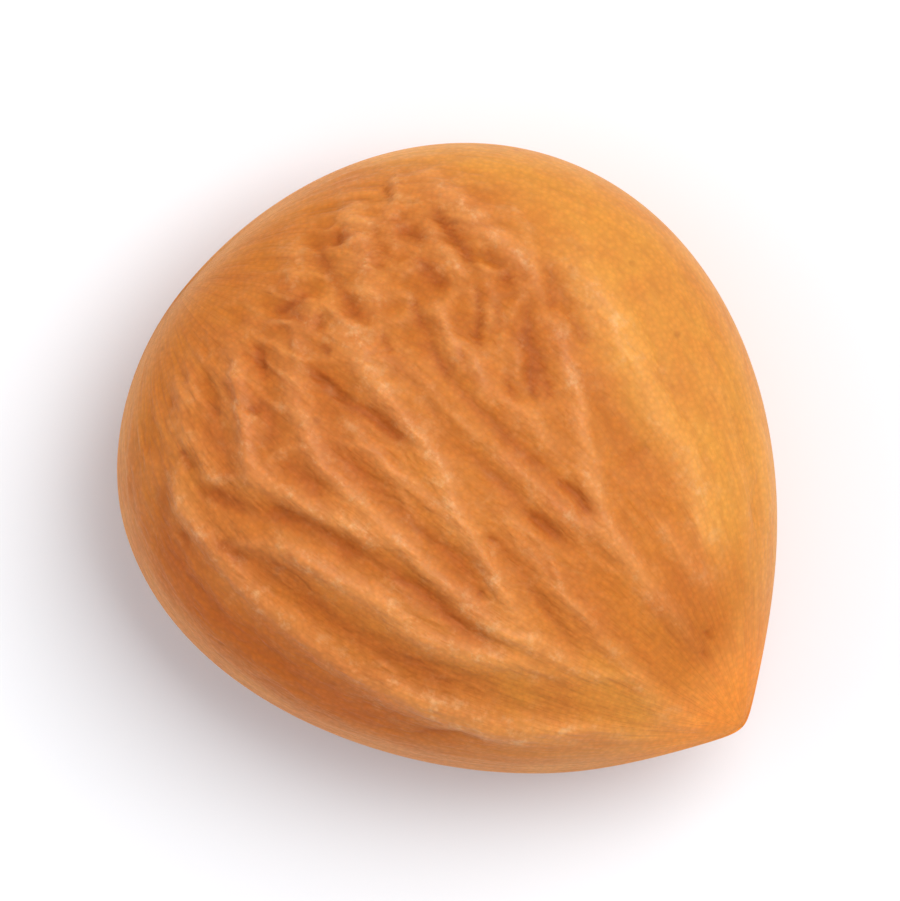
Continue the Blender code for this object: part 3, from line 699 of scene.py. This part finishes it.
# Streaks: the dry cells lie end to end along the seed.
lengthwise = put(tree, "ShaderNodeMapping", {"Vector": grain, "Scale": (STREAK_WIDTH / STREAK_RUN, 1, 1)})
streaks = put(tree, "ShaderNodeTexNoise", {"Vector": lengthwise.outputs["Vector"], "Scale": 1 / STREAK_WIDTH,
                                           "Detail": 3.0, "Roughness": 0.6}).outputs[0]
shade = put(tree, "ShaderNodeMapRange", {"Value": streaks, "From Min": 0.30, "From Max": 0.70,
                                         "To Min": 0.93, "To Max": 1.05}).outputs[0]
shade = put(tree, "ShaderNodeCombineColor", {"Red": shade, "Green": shade, "Blue": shade}).outputs["Color"]
colour = put(tree, "ShaderNodeMix", {"Factor_Float": 1.0, "A_Color": colour, "B_Color": shade},
             data_type="RGBA", blend_type="MULTIPLY").outputs[2]

# Creases: the thin coat is drawn into fine leathery folds that run with the streaks. Their lines are painted
# a little darker as painted shade.
bend = put(tree, "ShaderNodeTexNoise", {"Vector": place, "Scale": 1 / CREASE_RUN,
                                        "Detail": 3.0}).outputs["Color"]
bend = put(tree, "ShaderNodeVectorMath", {"Vector": bend, "Vector_001": (CREASE_RUN, CREASE_RUN, CREASE_RUN),
                                          "Vector_002": grain}, operation="MULTIPLY_ADD").outputs["Vector"]
folded = put(tree, "ShaderNodeMapping", {"Vector": bend, "Scale": (CREASE_WIDTH / CREASE_RUN, 1, 1)})
creases = put(tree, "ShaderNodeTexVoronoi", {"Vector": folded.outputs["Vector"], "Scale": 1 / CREASE_WIDTH},
              feature="DISTANCE_TO_EDGE").outputs["Distance"]
creases = put(tree, "ShaderNodeMapRange", {"Value": creases, "From Max": 0.30, "To Min": 1.0, "To Max": 0.0},
              interpolation_type="SMOOTHSTEP").outputs[0]
creases = put(tree, "ShaderNodeMath", {"Value": creases, "Value_001": folds_mark},
              operation="MULTIPLY").outputs[0]
shade = put(tree, "ShaderNodeMapRange", {"Value": creases, "To Min": 1.01, "To Max": 0.96}).outputs[0]
shade = put(tree, "ShaderNodeCombineColor", {"Red": shade, "Green": shade, "Blue": shade}).outputs["Color"]
colour = put(tree, "ShaderNodeMix", {"Factor_Float": 1.0, "A_Color": colour, "B_Color": shade},
             data_type="RGBA", blend_type="MULTIPLY").outputs[2]

# Rubbed flakes: pale scuffs on the crests.
flakes = put(tree, "ShaderNodeTexNoise", {"Vector": place, "Scale": 1 / FLAKE_SIZE, "Detail": 5.0,
                                          "Roughness": 0.7}).outputs[0]
rubbed = put(tree, "ShaderNodeMapRange", {"Value": flakes, "From Min": 0.50, "From Max": 0.72,
                                          "To Max": 0.38}, interpolation_type="SMOOTHSTEP").outputs[0]
rubbed = put(tree, "ShaderNodeMath", {"Value": rubbed, "Value_001": crest_mark},
             operation="MULTIPLY").outputs[0]
colour = put(tree, "ShaderNodeMix", {"Factor_Float": rubbed, "A_Color": colour, "B_Color": RUBBED_COLOUR},
             data_type="RGBA").outputs[2]

# Scurf: small dry scales all over, each paler in its middle.
scurf = put(tree, "ShaderNodeTexVoronoi", {"Vector": place, "Scale": 1 / SCURF_SIZE}).outputs["Distance"]
shade = put(tree, "ShaderNodeMapRange", {"Value": scurf, "From Max": 0.7, "To Min": 1.06,
                                         "To Max": 0.90}).outputs[0]
shade = put(tree, "ShaderNodeCombineColor", {"Red": shade, "Green": shade, "Blue": shade}).outputs["Color"]
colour = put(tree, "ShaderNodeMix", {"Factor_Float": 1.0, "A_Color": colour, "B_Color": shade},
             data_type="RGBA", blend_type="MULTIPLY").outputs[2]

# Specks: a few small dark spots, in a third of their cells.
specks = put(tree, "ShaderNodeTexVoronoi", {"Vector": place, "Scale": 1 / SPECK_SPACING})
from_middle = specks.outputs["Distance"]
chosen = put(tree, "ShaderNodeSeparateColor", {"Color": specks.outputs["Color"]}).outputs["Red"]
chosen = put(tree, "ShaderNodeMapRange", {"Value": chosen, "From Min": 0.60, "From Max": 0.75,
                                          "To Max": 0.3}).outputs[0]
speck = put(tree, "ShaderNodeMapRange", {"Value": from_middle, "From Min": 0.05, "From Max": 0.13,
                                         "To Min": 1.0, "To Max": 0.0}).outputs[0]
speck = put(tree, "ShaderNodeMath", {"Value": speck, "Value_001": chosen}, operation="MULTIPLY").outputs[0]
colour = put(tree, "ShaderNodeMix", {"Factor_Float": speck, "A_Color": colour, "B_Color": SPECK_COLOUR},
             data_type="RGBA").outputs[2]

# Touch: crests are rubbed smoother than the hollows. Scales, streaks and pores break up the light. Creases
# are sunk, and each scale is highest in its middle.
roughness = put(tree, "ShaderNodeMapRange", {"Value": crest_mark, "To Min": 0.66, "To Max": 0.46}).outputs[0]
pores = put(tree, "ShaderNodeTexNoise", {"Vector": place, "Scale": 1 / PORE_SIZE, "Detail": 2.0}).outputs[0]
bumps = put(tree, "ShaderNodeBump", {"Height": scurf, "Strength": 0.35, "Distance": SCURF_DEPTH * MM},
            invert=True).outputs["Normal"]
bumps = put(tree, "ShaderNodeBump", {"Height": creases, "Strength": 0.5, "Distance": CREASE_DEPTH * MM,
                                     "Normal": bumps}, invert=True).outputs["Normal"]
bumps = put(tree, "ShaderNodeBump", {"Height": streaks, "Strength": 0.5, "Distance": STREAK_DEPTH * MM,
                                     "Normal": bumps}).outputs["Normal"]
bumps = put(tree, "ShaderNodeBump", {"Height": pores, "Strength": 0.4, "Distance": PORE_DEPTH * MM,
                                     "Normal": bumps}).outputs["Normal"]

# The IOR is near that of dry plant fibre. Loose scales give a soft warm sheen at the rim, and a little light
# passes through the coat into the flesh.
shader = put(tree, "ShaderNodeBsdfPrincipled", {
    "Base Color": colour, "Roughness": roughness, "Normal": bumps, "IOR": 1.45, "Specular IOR Level": 0.30,
    "Sheen Weight": 0.45, "Sheen Roughness": 0.28, "Sheen Tint": SHEEN_COLOUR,
    "Subsurface Weight": 0.10, "Subsurface Scale": 0.6 * MM}).outputs["BSDF"]
put(tree, "ShaderNodeOutputMaterial", {"Surface": shader})

skin.materials.append(coat)
kernel = bpy.data.objects.new("kernel_skin", skin)
bpy.context.scene.collection.objects.link(kernel)
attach(kernel, "root")
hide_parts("kernel")

# Card.
# White uncoated card that the kernel lies on, larger than any view takes in. It is no part of the object. Its
# matt face gives the eye a plain pale ground with a soft shadow and no gloss.
CARD_HALF_SIDE = 1.5
corners = [(CARD_HALF_SIDE * i, CARD_HALF_SIDE * j, 0) for i, j in ((-1, -1), (1, -1), (1, 1), (-1, 1))]
card_mesh = bpy.data.meshes.new("white_card")
card_mesh.from_pydata(corners, [], [(0, 1, 2, 3)])
paper = bpy.data.materials.new("white_matt_card")
paper.use_nodes = True
paper_shader = paper.node_tree.nodes["Principled BSDF"]
paper_shader.inputs["Base Color"].default_value = linear("#F7F7F8")
paper_shader.inputs["Roughness"].default_value = 0.95
paper_shader.inputs["Specular IOR Level"].default_value = 0.1
card_mesh.materials.append(paper)
card = bpy.data.objects.new("white_card", card_mesh)
bpy.context.scene.collection.objects.link(card)

# Light.
# A broad soft box up at +Y, which is the photo's upper right, a weaker one across from it, and a pale room.
# Each box has its place and side in metres and its power in watts.
SOFT_BOXES = (
    ("key_soft_box", (0.03, 0.20, 0.36), 0.30, 1.25),
    ("fill_soft_box", (-0.25, -0.22, 0.30), 0.30, 0.22),
)
for name, spot, side, power in SOFT_BOXES:
    lamp = bpy.data.lights.new(name, "AREA")
    lamp.size = side
    lamp.energy = power
    box = bpy.data.objects.new(name, lamp)
    box.location = spot
    box.rotation_euler = (-Vector(spot)).to_track_quat("-Z", "Y").to_euler()
    box.visible_camera = False
    bpy.context.scene.collection.objects.link(box)
room = bpy.data.worlds.new("pale_room")
room.use_nodes = True
walls = room.node_tree.nodes["Background"]
walls.inputs["Color"].default_value = linear("#EEF2F8")
walls.inputs["Strength"].default_value = 0.62
bpy.context.scene.world = room
bpy.context.scene.view_settings.view_transform = "Standard"

# Camera.
# Straight above the kernel through a long lens, turned so that the point is at the lower right. The frame
# is 17 mm wide at the height of the rim.
CAMERA_HEIGHT = 0.45
RIM_LEVEL = 3.0 * MM
FRAME_WIDTH = 17.0 * MM
FRAME_X = -0.91 * MM
FRAME_Y = 0.05 * MM
SENSOR_WIDTH = 36.0
ROLL = math.radians(43.8)
view = bpy.data.cameras.new("camera")
view.sensor_width = SENSOR_WIDTH
view.lens = SENSOR_WIDTH * (CAMERA_HEIGHT - RIM_LEVEL) / FRAME_WIDTH
view.clip_start = 0.01
view.clip_end = 5.0
camera = bpy.data.objects.new("camera", view)
camera.location = (FRAME_X, FRAME_Y, CAMERA_HEIGHT)
camera.rotation_euler = (0.0, 0.0, ROLL)
bpy.context.scene.collection.objects.link(camera)
bpy.context.scene.camera = camera
